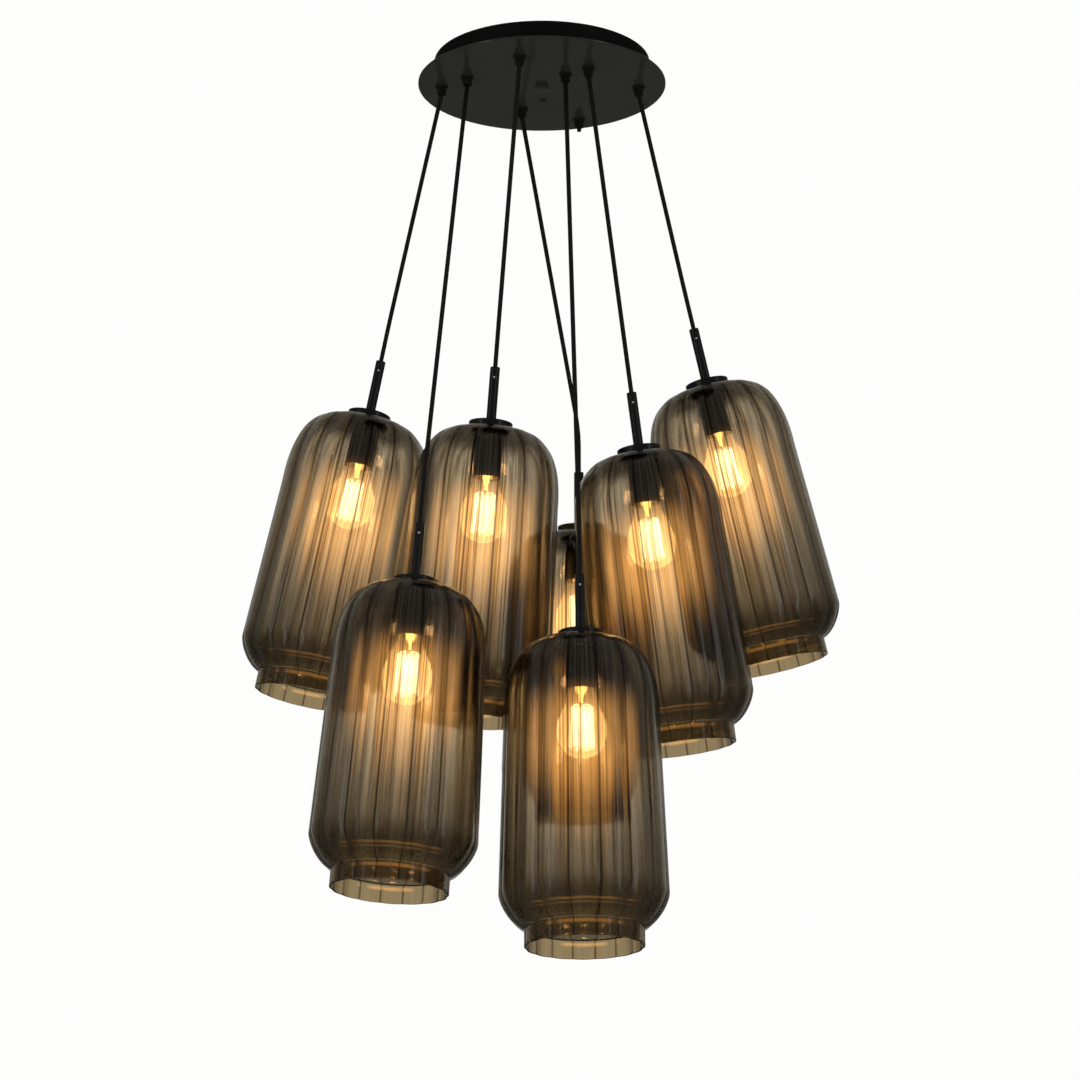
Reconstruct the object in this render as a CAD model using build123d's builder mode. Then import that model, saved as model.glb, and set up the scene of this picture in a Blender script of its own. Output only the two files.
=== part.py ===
from build123d import *
import os
from math import cos, pi, radians, sin, tan
from typing import NamedTuple

# Cluster pendant: seven fluted glass shades on straight cords under one round canopy.
# Millimetres. +Z is up, -Y is the front, and the origin is on the ceiling, at the middle
# of the canopy. A pendant's own pieces are drawn hanging straight down from the top of its
# stem, which is their local origin, and are then placed along its own leaning axis.

# ---- canopy ----
PLATE_RADIUS = 175.0
PLATE_THICKNESS = 3.0
PLATE_EDGE_CHAMFER = 0.6
DISH_RADIUS = 152.5
DISH_HEIGHT = 31.0
DISH_WALL = 1.2
TAB_COUNT = 4
TAB_LENGTH = 16.0
TAB_WIDTH = 14.0
WELD_STUD_RADIUS = 2.0
WELD_STUD_LENGTH = 6.0
DISH_NUT_THICKNESS = 3.2
DISH_NUT_WIDTH = 7.0

# ---- ceiling crossbar, centre stud, earth screw ----
CROSSBAR_LENGTH = 210.0
CROSSBAR_WIDTH = 24.0
CROSSBAR_THICKNESS = 2.5
CROSSBAR_BOSS_RADIUS = 9.0
CROSSBAR_BOSS_HEIGHT = 6.0
CEILING_SLOT_SPACING = 150.0
CEILING_SLOT_LENGTH = 22.0
CEILING_SLOT_WIDTH = 5.5
STUD_RADIUS = 5.0
STUD_TIP_BELOW_PLATE = 4.0
CAP_NUT_RADIUS = 9.0
CAP_NUT_HEIGHT = 7.0
EARTH_SCREW_PLACE = (2.0, 58.0)
EARTH_SCREW_RADIUS = 2.5
EARTH_SCREW_HEAD_RADIUS = 5.5
EARTH_SCREW_HEAD_HEIGHT = 3.0
EARTH_SCREW_LENGTH = 14.0
# Part of a round head's height that its rounded edge takes.
ROUND_HEAD_SHARE = 0.6

# ---- terminal block ----
BLOCK_LENGTH = 92.0
BLOCK_DEPTH = 20.0
BLOCK_HEIGHT = 22.0
BLOCK_FRONT = 20.0
BLOCK_CORNER_RADIUS = 2.0
POLE_PITCH = 12.0
POLE_HEIGHT = 15.0
POLE_SCREW_RADIUS = 2.6
POLE_SCREW_DEPTH = 6.0

# ---- cord grips ----
GRIP_FLANGE_RADIUS = 9.0
GRIP_FLANGE_THICKNESS = 3.0
GRIP_FLANGE_ROUNDING = 1.2
GRIP_BODY_RADIUS = 6.5
GRIP_BODY_HEIGHT = 9.0
GRIP_THREAD_RADIUS = 5.0
GRIP_THREAD_LENGTH = 7.0
GRIP_NUT_RADIUS = 7.0
GRIP_NUT_THICKNESS = 3.0
# Free space between the outermost grip nut's corners and the dish's inner wall.
NUT_TO_DISH_GAP = 2.2
GRIP_MOUTH_RADIUS = 5.0
GRIP_MOUTH_DEPTH = 3.5
SWIVEL_DEPTH = 1.5
SPARE_GRIP_PLACE = (54.0, 130.0)
SPARE_STUB_LENGTH = 6.0

# ---- cords ----
CORD_RADIUS = 3.1
LEAD_RADIUS = 1.5
LEAD_BEND = 9.0
CORD_BEND_ABOVE_STEM = 60.0
# Part of the shorter straight run that a cord's soft bend takes.
CORD_BEND_SHARE = 0.45
# Space in a grip's mouth between the cord's fixed tail and its hanging part.
TAIL_GAP = 2.2
SHEATH_ABOVE_PLATE = 5.0

# ---- stem and its set screw ----
STEM_RADIUS = 6.75
STEM_LENGTH = 78.0
STEM_BORE_CLEARANCE = 0.5
STEM_TOP_CHAMFER = 0.5
SPIGOT_RADIUS = 5.0
SPIGOT_LENGTH = 10.0
SET_SCREW_RADIUS = 1.5
SET_SCREW_BELOW_TOP = 15.0
SET_SCREW_STANDS_OUT = 0.4

# ---- cap ----
CAP_RADIUS = 30.0
CAP_HEIGHT = 12.0
CAP_TOP_WALL = 1.5
CAP_SIDE_WALL = 1.2
CAP_EDGE_RADIUS = 1.2

# ---- socket and the ring that clamps the shade ----
SOCKET_RADIUS = 19.75
SOCKET_BELOW_CAP = 66.0
SOCKET_WALL = 1.9
SOCKET_ROOF = 4.5
TERMINAL_ROOM_HEIGHT = 18.0
TERMINAL_ROOM_RADIUS = 14.0
CONTACT_FLOOR_THICKNESS = 6.0
RING_WIDTH = 6.0
RING_HEIGHT = 7.0
RING_CHAMFER = 1.0

# ---- glass shade ----
SHADE_HEIGHT = 400.0
SHADE_NECK_RADIUS = 32.0
SHADE_SHOULDER_RADIUS = 100.0
SHADE_WIDEST_RADIUS = 108.0
SHADE_COLLAR_RADIUS = 76.0
SHADE_DOME_HEIGHT = 106.0
SHADE_BELLY_HEIGHT = 68.0
SHADE_COLLAR_HEIGHT = 24.0
SHADE_DOME_POWER = 2.6
SHADE_BELLY_POWER = 1.5
GLASS = 3.0
FLUTES = 16
FLUTE_DEPTH = 3.5
# The dome's sections stand at these angles round its flattened quarter ellipse, and the lower
# shoulder's sections at these parts of its height.
DOME_ANGLES = (0, 15, 30, 45, 60, 72, 82, 90)
BELLY_SECTIONS = (0, 0.2, 0.4, 0.6, 0.78, 0.92, 1)

# ---- bulb ----
BULB_BASE_RADIUS = 13.2
BULB_BASE_LENGTH = 24.0
BULB_NECK_RADIUS = 14.5
BULB_NECK_LENGTH = 18.0
BULB_RADIUS = 32.0
BULB_BELOW_SOCKET = 89.0
BULB_STRAIGHT_BAND = 7.0
BULB_GLASS = 1.0
BULB_LEAD_HOLE_RADIUS = 2.0

# ---- clearances ----
THREAD_CLEARANCE = 0.05
HOLE_CLEARANCE = 0.15
SOFT_CLEARANCE = 0.3

# ---- where the pendants hang ----
# Neighbouring shades' axes in the table are this far apart where they come nearest, and its
# outermost cord outlet stands this far from the middle of the canopy.
TABLE_PITCH = 219.0
TABLE_OUTLET_REACH = 142.1
SHADE_GAP = 3.0


class Pendant(NamedTuple):
    """One pendant: where its cord leaves the plate, where its stem top hangs under the plate,
    how far its axis leans, and the terminal pole that its lead goes to."""

    outlet: tuple
    stem_top: tuple
    lean_right: float
    lean_front: float
    pole: int
    pole_side: int


PENDANTS = {
    "left": Pendant((-142, 5), (-226, 61, -390), -11.0, -0.8, -3, -1),
    "front_left": Pendant((-105, -30), (-159, -221, -700), -4.0, 3.4, -2, -1),
    "middle_left": Pendant((-31, -107), (-64, -55, -435), -4.2, -3.3, -1, -1),
    "front": Pendant((33, -43), (49, -231, -772), 0.5, 4.1, 1, -1),
    "middle_right": Pendant((65, -65), (121, -96, -484), 7.2, -2.8, 2, -1),
    "right": Pendant((137, 7), (213, 49, -346), 12.7, -4.0, 3, -1),
    "rear": Pendant((-29, 89), (52, 120, -535), 0.0, -3.2, -2, 1),
}

# ---- heights in the canopy, from the ceiling down ----
plate_top = -DISH_HEIGHT
plate_under = plate_top - PLATE_THICKNESS
flange_under = plate_under - GRIP_FLANGE_THICKNESS
grip_mouth = flange_under - GRIP_BODY_HEIGHT
swivel_height = grip_mouth + SWIVEL_DEPTH
pole_height = plate_top + POLE_HEIGHT
sheath_top = plate_top + SHEATH_ABOVE_PLATE

# ---- heights on a pendant, from the top of its stem down ----
cap_top = -STEM_LENGTH
cap_ceiling = cap_top - CAP_TOP_WALL
shade_top = cap_top - CAP_HEIGHT
socket_mouth = shade_top - SOCKET_BELOW_CAP
ring_top = shade_top - GLASS
terminal_room_top = cap_ceiling - SOCKET_ROOF
terminal_room_floor = terminal_room_top - TERMINAL_ROOM_HEIGHT
contact_face = terminal_room_floor - CONTACT_FLOOR_THICKNESS
bulb_base_top = contact_face - SOFT_CLEARANCE
bulb_base_bottom = bulb_base_top - BULB_BASE_LENGTH
bulb_neck_bottom = bulb_base_bottom - BULB_NECK_LENGTH
bulb_tip = socket_mouth - BULB_BELOW_SOCKET
bulb_round_start = bulb_tip + BULB_RADIUS
bulb_widest = bulb_round_start + BULB_STRAIGHT_BAND

# ---- the dish's tabs on the plate ----
tab_angle = 360 / TAB_COUNT / 2
tab_middle = DISH_RADIUS - TAB_LENGTH / 2

# ---- fits ----
grip_bore = CORD_RADIUS + SOFT_CLEARANCE
stem_bore = CORD_RADIUS + STEM_BORE_CLEARANCE
socket_hole_in_glass = SOCKET_RADIUS + SOFT_CLEARANCE
spread = (2 * SHADE_WIDEST_RADIUS + SHADE_GAP) / TABLE_PITCH
outlet_reach = DISH_RADIUS - DISH_WALL - GRIP_NUT_RADIUS - NUT_TO_DISH_GAP
outlet_spread = outlet_reach / TABLE_OUTLET_REACH


def on_plate(place):
    """A place in the table, taken in or out with the dish."""
    x, y = place
    return x * outlet_spread, y * outlet_spread


def at_outlets():
    """The places of the seven cords on the plate."""
    return [on_plate(pendant.outlet) for pendant in PENDANTS.values()]


def at_grips():
    """The places of all eight grips on the plate: one for each cord, and the spare one."""
    return [*at_outlets(), on_plate(SPARE_GRIP_PLACE)]


def stem_top_of(pendant):
    """A pendant's stem top in the whole object's frame."""
    x, y, z = pendant.stem_top
    return Vector(x * spread, y * spread, plate_under + z)


def hanging_plane(pendant):
    """The plane at a pendant's stem top whose Z runs up the pendant's own axis."""
    up = Vector(-tan(radians(pendant.lean_right)), tan(radians(pendant.lean_front)), 1)
    return Plane(origin=stem_top_of(pendant), x_dir=Vector(0, 1, 0).cross(up), z_dir=up)


def save(part, name):
    """Write one finished piece to its own file."""
    part.label = name
    export_step(part, f"parts/{name}.step")


def save_placed(piece, pendant, name):
    """Hang a copy of a piece on its pendant's axis and write it."""
    with BuildPart() as placed:
        with Locations(hanging_plane(pendant).location):
            add(piece)
    save(placed.part, name)


# ---------------------------------------------------------------- canopy

def make_canopy_plate():
    """Flat round plate with a hole for each grip, the stud and the earth screw, and weld studs."""
    with BuildPart() as plate:
        with BuildSketch(Plane.XY.offset(plate_under)):
            Circle(PLATE_RADIUS)
            with Locations(*at_grips()):
                Circle(GRIP_THREAD_RADIUS + HOLE_CLEARANCE, mode=Mode.SUBTRACT)
            Circle(STUD_RADIUS + HOLE_CLEARANCE, mode=Mode.SUBTRACT)
            with Locations(EARTH_SCREW_PLACE):
                Circle(EARTH_SCREW_RADIUS + HOLE_CLEARANCE, mode=Mode.SUBTRACT)
        extrude(amount=PLATE_THICKNESS)
        plate_edges = plate.edges().filter_by(GeomType.CIRCLE).sort_by(SortBy.RADIUS)[-2:]
        chamfer(plate_edges, PLATE_EDGE_CHAMFER)
        with BuildSketch(Plane.XY.offset(plate_top)):
            with PolarLocations(tab_middle, TAB_COUNT, start_angle=tab_angle):
                Circle(WELD_STUD_RADIUS)
        extrude(amount=WELD_STUD_LENGTH)
    return plate.part


def make_canopy_dish():
    """Round wall between plate and ceiling, with inward tabs that sit on the plate."""
    with BuildPart() as dish:
        with BuildSketch(Plane.XY.offset(plate_top)):
            Circle(DISH_RADIUS)
            Circle(DISH_RADIUS - DISH_WALL, mode=Mode.SUBTRACT)
        extrude(amount=DISH_HEIGHT)
        with BuildSketch(Plane.XY.offset(plate_top)):
            with PolarLocations(DISH_RADIUS - DISH_WALL / 2, TAB_COUNT, start_angle=tab_angle):
                Rectangle(TAB_LENGTH, TAB_WIDTH, align=(Align.MAX, Align.CENTER))
            with PolarLocations(tab_middle, TAB_COUNT, start_angle=tab_angle):
                Circle(WELD_STUD_RADIUS + HOLE_CLEARANCE, mode=Mode.SUBTRACT)
        extrude(amount=DISH_WALL)
    return dish.part


def make_dish_nuts():
    """The nuts that hold the dish's tabs on the plate's weld studs."""
    with BuildPart() as nuts:
        with BuildSketch(Plane.XY.offset(plate_top + DISH_WALL)):
            with PolarLocations(tab_middle, TAB_COUNT, start_angle=tab_angle):
                RegularPolygon(DISH_NUT_WIDTH / 2, 6, major_radius=False)
                Circle(WELD_STUD_RADIUS + THREAD_CLEARANCE, mode=Mode.SUBTRACT)
        extrude(amount=DISH_NUT_THICKNESS)
    return nuts.part


def make_ceiling_crossbar():
    """Steel strip against the ceiling with two screw slots and a tapped boss in the middle."""
    with BuildPart() as crossbar:
        with BuildSketch(Plane.XY):
            SlotOverall(CROSSBAR_LENGTH, CROSSBAR_WIDTH)
            with GridLocations(CEILING_SLOT_SPACING, 0, 2, 1):
                SlotOverall(CEILING_SLOT_LENGTH, CEILING_SLOT_WIDTH, mode=Mode.SUBTRACT)
        extrude(amount=-CROSSBAR_THICKNESS)
        with BuildSketch(Plane.XY.offset(-CROSSBAR_THICKNESS)):
            Circle(CROSSBAR_BOSS_RADIUS)
        extrude(amount=-CROSSBAR_BOSS_HEIGHT)
        Hole(STUD_RADIUS + THREAD_CLEARANCE)
    return crossbar.part


def make_centre_stud():
    """Threaded stud from the crossbar through the plate into the cap nut."""
    stud_length = -plate_under + STUD_TIP_BELOW_PLATE
    with BuildPart() as stud:
        with BuildSketch(Plane.XY):
            Circle(STUD_RADIUS)
        extrude(amount=-stud_length)
    return stud.part


def make_centre_cap_nut():
    """Low round cap nut on the stud, under the plate."""
    with BuildPart() as cap_nut:
        with BuildSketch(Plane.XY.offset(plate_under)):
            Circle(CAP_NUT_RADIUS)
        extrude(amount=-CAP_NUT_HEIGHT)
        fillet(cap_nut.faces().sort_by(Axis.Z)[0].edges(), CAP_NUT_HEIGHT * ROUND_HEAD_SHARE)
        with BuildSketch(Plane.XY.offset(plate_under)):
            Circle(STUD_RADIUS + THREAD_CLEARANCE)
        extrude(amount=-STUD_TIP_BELOW_PLATE - SOFT_CLEARANCE, mode=Mode.SUBTRACT)
    return cap_nut.part


def make_earth_screw():
    """Round-headed screw up through the plate, for the earth lead."""
    with BuildPart() as screw:
        with BuildSketch(Plane.XY.offset(plate_under)):
            with Locations(EARTH_SCREW_PLACE):
                Circle(EARTH_SCREW_HEAD_RADIUS)
        extrude(amount=-EARTH_SCREW_HEAD_HEIGHT)
        rounding = EARTH_SCREW_HEAD_HEIGHT * ROUND_HEAD_SHARE
        fillet(screw.faces().sort_by(Axis.Z)[0].edges(), rounding)
        with BuildSketch(Plane.XY.offset(plate_under)):
            with Locations(EARTH_SCREW_PLACE):
                Circle(EARTH_SCREW_RADIUS)
        extrude(amount=EARTH_SCREW_LENGTH)
    return screw.part


def make_terminal_block():
    """Block on the plate with one screw pole for each lead."""
    block_middle = BLOCK_FRONT + BLOCK_DEPTH / 2
    with BuildPart() as block:
        with BuildSketch(Plane.XY.offset(plate_top)):
            with Locations((0, block_middle)):
                Rectangle(BLOCK_LENGTH, BLOCK_DEPTH)
        extrude(amount=BLOCK_HEIGHT)
        fillet(block.edges().filter_by(Axis.Z), BLOCK_CORNER_RADIUS)
        with Locations((0, block_middle, plate_top + BLOCK_HEIGHT)):
            with GridLocations(POLE_PITCH, 0, len(PENDANTS), 1):
                Hole(POLE_SCREW_RADIUS, depth=POLE_SCREW_DEPTH)
    return block.part


# ---------------------------------------------------------------- cord grips

def make_cord_grip():
    """One grip, on the Z axis: thread through the plate, flange, and the body with its mouth."""
    thread_top = plate_top + GRIP_THREAD_LENGTH
    with BuildPart() as grip:
        with BuildSketch(Plane.XZ):
            with BuildLine():
                Polyline(
                    (grip_bore, thread_top),
                    (GRIP_THREAD_RADIUS, thread_top),
                    (GRIP_THREAD_RADIUS, plate_under),
                    (GRIP_FLANGE_RADIUS, plate_under),
                    (GRIP_FLANGE_RADIUS, flange_under),
                    (GRIP_BODY_RADIUS, flange_under),
                    (GRIP_BODY_RADIUS, grip_mouth),
                    (GRIP_MOUTH_RADIUS, grip_mouth),
                    (grip_bore, grip_mouth + GRIP_MOUTH_DEPTH),
                    close=True,
                )
            make_face()
        revolve(axis=Axis.Z)
        flange_edges = grip.edges().filter_by(GeomType.CIRCLE).sort_by(SortBy.RADIUS)[-2:]
        fillet(flange_edges.sort_by(Axis.Z)[:1], GRIP_FLANGE_ROUNDING)
    return grip.part


def make_cord_grips():
    """The seven grips with cords and the spare one."""
    one_grip = make_cord_grip()
    with BuildPart() as grips:
        with Locations(*at_grips()):
            add(one_grip)
    return grips.part


def make_grip_nuts():
    """The thin nuts that hold the grips from inside the canopy."""
    with BuildPart() as nuts:
        with BuildSketch(Plane.XY.offset(plate_top)):
            with Locations(*at_grips()):
                RegularPolygon(GRIP_NUT_RADIUS, 6)
                Circle(GRIP_THREAD_RADIUS + THREAD_CLEARANCE, mode=Mode.SUBTRACT)
        extrude(amount=GRIP_NUT_THICKNESS)
    return nuts.part


# ---------------------------------------------------------------- cords

def lead_path(pendant):
    """The line of one lead in the canopy: up from its grip, across, and square into its pole."""
    x, y = on_plate(pendant.outlet)
    pole_x = pendant.pole * POLE_PITCH
    pole_y = BLOCK_FRONT + (BLOCK_DEPTH if pendant.pole_side > 0 else 0)
    approach = pole_y + pendant.pole_side * (LEAD_BEND + 2 * LEAD_RADIUS + SOFT_CLEARANCE)
    corners = [
        (x, y, plate_top),
        (x, y, pole_height),
        (pole_x, approach, pole_height),
        (pole_x, pole_y, pole_height),
    ]
    with BuildLine() as line:
        FilletPolyline(*corners, radius=LEAD_BEND)
    return line.wires()[0]


def make_cord_tails():
    """The fixed inner ends of the cords: the sheath in each grip and its lead to the block, and
    the short stub that closes the spare grip."""
    sheath_bottom = swivel_height + TAIL_GAP
    stub_bottom = grip_mouth - SPARE_STUB_LENGTH
    paths = [lead_path(pendant) for pendant in PENDANTS.values()]
    with BuildPart() as tails:
        with BuildSketch(Plane.XY.offset(sheath_bottom)):
            with Locations(*at_outlets()):
                Circle(CORD_RADIUS)
        extrude(amount=sheath_top - sheath_bottom)
        with BuildSketch(Plane.XY.offset(stub_bottom)):
            with Locations(on_plate(SPARE_GRIP_PLACE)):
                Circle(CORD_RADIUS)
        extrude(amount=sheath_top - stub_bottom)
        for path in paths:
            with BuildSketch(Plane(origin=path @ 0, z_dir=path % 0)):
                Circle(LEAD_RADIUS)
            sweep(path=path)
    return tails.part


def cord_route(pendant):
    """Three points of a hanging cord: the swivel, the soft bend above the stem, the inner end."""
    x, y = on_plate(pendant.outlet)
    axis_plane = hanging_plane(pendant)
    swivel = Vector(x, y, swivel_height)
    bend = axis_plane.from_local_coords(Vector(0, 0, CORD_BEND_ABOVE_STEM))
    inner_end = axis_plane.from_local_coords(Vector(0, 0, terminal_room_floor))
    return swivel, bend, inner_end


def make_cord(pendant, name):
    """One hanging cord: straight from its grip, a soft bend, and down inside the stem."""
    swivel, bend, inner_end = cord_route(pendant)
    turn = (bend - swivel).get_angle(inner_end - bend)
    shorter_run = min((bend - swivel).length, (inner_end - bend).length)
    bend_radius = CORD_BEND_SHARE * shorter_run / tan(radians(turn / 2))
    with BuildLine() as line:
        FilletPolyline(swivel, bend, inner_end, radius=bend_radius)
    path = line.wires()[0]
    with BuildPart() as cord:
        with BuildSketch(Plane(origin=path @ 0, z_dir=path % 0)):
            Circle(CORD_RADIUS)
        sweep(path=path)
    section = pi * CORD_RADIUS**2
    print(
        f"{name}: length {path.length:.1f}, turn {turn:.1f} deg, bend radius {bend_radius:.0f}, "
        f"volume over section times length {cord.part.volume / (section * path.length):.4f}"
    )
    return cord.part


# ---------------------------------------------------------------- pendant pieces, drawn hanging

def make_stem():
    """Sleeve round the cord's end, with its spigot through the cap, and its set screw."""
    screw_place = Vector(0, 0, -SET_SCREW_BELOW_TOP)
    screw_plane = Plane(origin=screw_place, z_dir=(0, -1, 0))
    screw_length = STEM_RADIUS + SET_SCREW_STANDS_OUT - stem_bore
    with BuildPart() as sleeve:
        with BuildSketch(Plane.XY):
            Circle(STEM_RADIUS)
        extrude(amount=-STEM_LENGTH)
        chamfer(sleeve.edges().sort_by(Axis.Z)[-1:], STEM_TOP_CHAMFER)
        with BuildSketch(Plane.XY.offset(cap_top)):
            Circle(SPIGOT_RADIUS)
        extrude(amount=-SPIGOT_LENGTH)
        with BuildSketch(Plane.XY):
            Circle(stem_bore)
        extrude(amount=-STEM_LENGTH - SPIGOT_LENGTH, mode=Mode.SUBTRACT)
        with BuildSketch(screw_plane):
            Circle(SET_SCREW_RADIUS + THREAD_CLEARANCE)
        extrude(amount=STEM_RADIUS, mode=Mode.SUBTRACT)
        with BuildSketch(screw_plane.offset(stem_bore)):
            Circle(SET_SCREW_RADIUS)
        extrude(amount=screw_length)
    return sleeve.part


def make_cap():
    """Shallow round cup that sits on the shade."""
    with BuildPart() as cap:
        with BuildSketch(Plane.XY.offset(cap_top)):
            Circle(CAP_RADIUS)
        extrude(amount=-CAP_HEIGHT)
        fillet(cap.edges().sort_by(Axis.Z)[-1:], CAP_EDGE_RADIUS)
        with BuildSketch(Plane.XY.offset(cap_ceiling)):
            Circle(CAP_RADIUS - CAP_SIDE_WALL)
        extrude(amount=CAP_TOP_WALL - CAP_HEIGHT, mode=Mode.SUBTRACT)
        with BuildSketch(Plane.XY.offset(cap_top)):
            Circle(SPIGOT_RADIUS + HOLE_CLEARANCE)
        extrude(amount=-CAP_TOP_WALL, mode=Mode.SUBTRACT)
    return cap.part


def make_socket():
    """Lamp socket: a deep round cup with a room for the terminals above the contact floor."""
    with BuildPart() as socket:
        with BuildSketch(Plane.XY.offset(cap_ceiling)):
            Circle(SOCKET_RADIUS)
        extrude(amount=socket_mouth - cap_ceiling)
        with BuildSketch(Plane.XY.offset(cap_ceiling)):
            Circle(SPIGOT_RADIUS + THREAD_CLEARANCE)
        extrude(amount=-SOCKET_ROOF, mode=Mode.SUBTRACT)
        with BuildSketch(Plane.XY.offset(terminal_room_top)):
            Circle(TERMINAL_ROOM_RADIUS)
        extrude(amount=-TERMINAL_ROOM_HEIGHT, mode=Mode.SUBTRACT)
        with BuildSketch(Plane.XY.offset(contact_face)):
            Circle(BULB_BASE_RADIUS + THREAD_CLEARANCE)
        extrude(amount=bulb_base_bottom - contact_face, mode=Mode.SUBTRACT)
        with BuildSketch(Plane.XY.offset(bulb_base_bottom)):
            Circle(SOCKET_RADIUS - SOCKET_WALL)
        extrude(amount=socket_mouth - bulb_base_bottom, mode=Mode.SUBTRACT)
    return socket.part


def make_shade_ring():
    """Ring screwed on the socket that clamps the glass against the cap."""
    with BuildPart() as ring:
        with BuildSketch(Plane.XY.offset(ring_top)):
            Circle(SOCKET_RADIUS + RING_WIDTH)
            Circle(SOCKET_RADIUS + THREAD_CLEARANCE, mode=Mode.SUBTRACT)
        extrude(amount=-RING_HEIGHT)
        outer_edges = ring.edges().filter_by(GeomType.CIRCLE).sort_by(SortBy.RADIUS)[-2:]
        chamfer(outer_edges.sort_by(Axis.Z)[:1], RING_CHAMFER)
    return ring.part


def fluted_ring(radius):
    """A closed ring of outward arcs that meet in creases, shallower where the shade is narrow."""
    depth = FLUTE_DEPTH * (radius / SHADE_WIDEST_RADIUS) ** 2
    crease = Vector(radius - depth, 0)
    middle = Vector(radius, 0)
    step = 360 / FLUTES
    with BuildSketch() as ring:
        with BuildLine():
            for flute in range(FLUTES):
                turn = flute * step
                ThreePointArc(
                    crease.rotate(Axis.Z, turn - step / 2),
                    middle.rotate(Axis.Z, turn),
                    crease.rotate(Axis.Z, turn + step / 2),
                )
        make_face()
    return ring.sketch


def dome_sections(inset):
    """Depth and radius down the dome, a flattened quarter ellipse; inset is the wall for the
    inner face."""
    across = SHADE_SHOULDER_RADIUS - inset - SHADE_NECK_RADIUS
    down = SHADE_DOME_HEIGHT - inset
    power = 2 / SHADE_DOME_POWER
    return [
        (
            inset + down * (1 - max(cos(radians(angle)), 0) ** power),
            SHADE_NECK_RADIUS + across * sin(radians(angle)) ** power,
        )
        for angle in DOME_ANGLES
    ]


def belly_sections(inset):
    """Depth and radius round the lower shoulder, a flattened ellipse, down to the collar."""
    across = SHADE_WIDEST_RADIUS - SHADE_COLLAR_RADIUS
    down = SHADE_BELLY_HEIGHT - SHADE_COLLAR_HEIGHT
    start = SHADE_HEIGHT - SHADE_BELLY_HEIGHT
    power = SHADE_BELLY_POWER
    return [
        (start + down * s, SHADE_COLLAR_RADIUS - inset + across * (1 - s**power) ** (1 / power))
        for s in BELLY_SECTIONS
    ]


def fluted_body(sections, ruled=False):
    """A solid through fluted rings at the given depths under the shade's top."""
    rings = [(depth, fluted_ring(radius)) for depth, radius in sections]
    with BuildPart() as body:
        for depth, ring in rings:
            with BuildSketch(Plane.XY.offset(shade_top - depth)):
                add(ring)
        loft(ruled=ruled)
    return body.part


def fluted_form(inset):
    """The shade's full form without its hollow; with the wall as inset, the hollow itself."""
    dome = dome_sections(inset)
    belly = belly_sections(inset)
    collar = [belly[-1], (SHADE_HEIGHT, belly[-1][1])]
    bodies = [
        fluted_body(dome),
        fluted_body([dome[-1], belly[0]], ruled=True),
        fluted_body(belly),
        fluted_body(collar, ruled=True),
    ]
    with BuildPart() as form:
        add(bodies)
    return form.part


def make_shade():
    """Fluted glass shade: flat top with the socket's hole, dome, taper, belly and open collar."""
    outside = fluted_form(0)
    hollow = fluted_form(GLASS)
    with BuildPart() as shade:
        add(outside)
        add(hollow, mode=Mode.SUBTRACT)
        with BuildSketch(Plane.XY.offset(shade_top)):
            Circle(socket_hole_in_glass)
        extrude(amount=-GLASS, mode=Mode.SUBTRACT)
    return shade.part


def bulb_section(inset, top_outline):
    """Half section of the bulb's glass under the given top points: neck, swelling side, tip."""
    neck = BULB_NECK_RADIUS - inset
    widest = BULB_RADIUS - inset
    side_middle = ((neck + widest) / 2, (bulb_neck_bottom + bulb_widest) / 2)
    with BuildSketch() as section:
        with BuildLine():
            Polyline(*top_outline, (neck, bulb_neck_bottom))
            TangentArc((neck, bulb_neck_bottom), side_middle, tangent=(0, -1))
            TangentArc((widest, bulb_widest), side_middle, tangent=(0, 1))
            Line((widest, bulb_widest), (widest, bulb_round_start))
            CenterArc((0, bulb_round_start), widest, 270, 90)
            Line((0, bulb_round_start - widest), top_outline[0])
        make_face()
    return section.sketch


def make_bulb():
    """Bulb: screw base with its lead hole, and hollow glass."""
    base_outline = [
        (0, bulb_base_top),
        (BULB_BASE_RADIUS, bulb_base_top),
        (BULB_BASE_RADIUS, bulb_base_bottom),
        (BULB_NECK_RADIUS, bulb_base_bottom),
    ]
    hollow_top = bulb_base_bottom - BULB_GLASS
    hollow_outline = [
        (0, bulb_base_top),
        (BULB_LEAD_HOLE_RADIUS, bulb_base_top),
        (BULB_LEAD_HOLE_RADIUS, hollow_top),
        (BULB_NECK_RADIUS - BULB_GLASS, hollow_top),
    ]
    outside = bulb_section(0, base_outline)
    hollow = bulb_section(BULB_GLASS, hollow_outline)
    with BuildPart() as bulb:
        with BuildSketch(Plane.XZ):
            add(outside)
        revolve(axis=Axis.Z)
        with BuildSketch(Plane.XZ):
            add(hollow)
        revolve(axis=Axis.Z, mode=Mode.SUBTRACT)
    return bulb.part


# ---------------------------------------------------------------- make and write everything

os.makedirs("parts", exist_ok=True)

save(make_canopy_plate(), "canopy_plate")
save(make_canopy_dish(), "canopy_dish")
save(make_dish_nuts(), "dish_nuts")
save(make_ceiling_crossbar(), "ceiling_crossbar")
save(make_centre_stud(), "centre_stud")
save(make_centre_cap_nut(), "centre_cap_nut")
save(make_earth_screw(), "earth_screw")
save(make_terminal_block(), "terminal_block")
save(make_cord_grips(), "cord_grips")
save(make_grip_nuts(), "grip_nuts")
save(make_cord_tails(), "cord_tails")

hanging_pieces = {
    "stem": make_stem(),
    "cap": make_cap(),
    "socket": make_socket(),
    "shade_ring": make_shade_ring(),
    "shade": make_shade(),
    "bulb": make_bulb(),
}

for pendant_name, pendant in PENDANTS.items():
    save(make_cord(pendant, f"{pendant_name}_cord"), f"{pendant_name}_cord")
    for piece_name, piece in hanging_pieces.items():
        save_placed(piece, pendant, f"{pendant_name}_{piece_name}")
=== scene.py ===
from math import cos, pi, radians, sin, tan

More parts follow.
